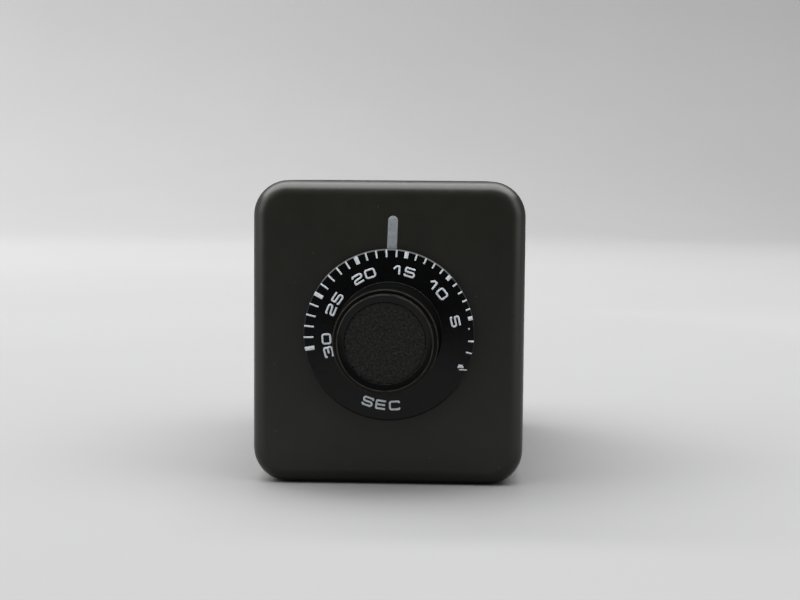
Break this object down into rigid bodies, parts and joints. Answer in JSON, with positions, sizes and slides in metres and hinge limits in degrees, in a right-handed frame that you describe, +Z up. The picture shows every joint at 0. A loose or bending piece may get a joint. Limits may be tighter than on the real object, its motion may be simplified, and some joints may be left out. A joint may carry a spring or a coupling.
{
  "type": "plug-in time-delay relay",
  "caption": "Plug-in time-delay relay: a moulded dust cover with a dial knob and seconds scale, timing boards and a clapper relay inside, and an octal plug base.",
  "frame": {"origin": "on the surface that the relay lies on, under the middle of its whole length and width", "axes": "+Z up out of the lower side of the cover, +Y from the knob towards the plug pins, +X to the right of a person facing the knob"},
  "size_m": [0.0358, 0.0834, 0.0401],
  "materials": {
    "cover": "dark olive-grey moulded plastic, satin to glossy",
    "base": "black phenolic moulding",
    "knob": "black moulded plastic, satin",
    "knob_inlay": "coarse sand-grained dark grey",
    "pin": "tinned brass",
    "brass": "dull brass",
    "steel": "zinc-plated steel",
    "zinc": "dull plated metal",
    "winding": "enamelled copper wire, wound",
    "nylon": "natural nylon",
    "phenolic": "brown phenolic",
    "laminate": "bare circuit board laminate",
    "black_case": "black moulded case",
    "blue_sleeve": "blue shrunk sleeve",
    "green_case": "green dipped case",
    "red_disc": "red dipped disc",
    "tan_body": "tan coated body",
    "lead_jacket": "grey insulation"
  },
  "bodies": {
    "housing": {"dust_cover": "cover", "plug_base": "base", "plug_pin_1": "pin", "plug_pin_2": "pin", "plug_pin_3": "pin", "plug_pin_4": "pin", "plug_pin_5": "pin", "plug_pin_6": "pin", "plug_pin_7": "pin", "plug_pin_8": "pin", "pot_bushing": "zinc", "pot_lock_washer": "steel", "pot_nut": "zinc", "pot_housing": "zinc", "pot_element": "phenolic", "front_board": "laminate", "main_board": "laminate", "board_header": "black_case", "support_post": "brass", "support_screw": "steel", "relay_yoke": "steel", "relay_core": "steel", "relay_screw_1": "steel", "relay_screw_2": "steel", "coil_bobbin": "nylon", "coil_winding": "winding", "contact_block": "phenolic", "return_spring": "steel", "normally_closed_contact_1": "brass", "normally_closed_contact_2": "brass", "normally_open_contact_1": "brass", "normally_open_contact_2": "brass", "filter_capacitor": "blue_sleeve", "timing_capacitor": "green_case", "timer_chip": "black_case", "output_transistor": "black_case", "dropping_resistor": "tan_body", "surge_suppressor": "red_disc", "rectifier_diode_1": "black_case", "rectifier_diode_2": "black_case", "timing_resistor_1": "tan_body", "timing_resistor_2": "tan_body", "lead_1": "lead_jacket", "lead_2": "lead_jacket", "lead_3": "lead_jacket", "lead_4": "lead_jacket", "lead_5": "lead_jacket", "lead_6": "lead_jacket", "lead_7": "lead_jacket", "lead_8": "lead_jacket"},
    "dial_knob": {"knob": "knob", "knob_inlay": "knob_inlay", "knob_clip": "steel", "pot_shaft": "brass", "pot_rotor": "nylon", "pot_wiper": "brass"},
    "relay_armature": {"armature": "steel", "contact_carrier": "phenolic", "moving_blade_1": "brass", "moving_blade_2": "brass"}
  },
  "joints": [
    {"name": "knob_turn", "type": "hinge", "parent": "housing", "child": "dial_knob", "pos_m": [0.0002, -0.0295, 0.02005], "axis": [0, 1, 0], "range_deg": [-116, 101]},
    {"name": "armature_swing", "type": "hinge", "parent": "housing", "child": "relay_armature", "pos_m": [-0.0054, -0.00595, 0.0238], "axis": [1, 0, 0], "range_deg": [0, 3.5], "stiffness_Nm_per_rad": 0.06, "springref_deg": -3.44}
  ]
}
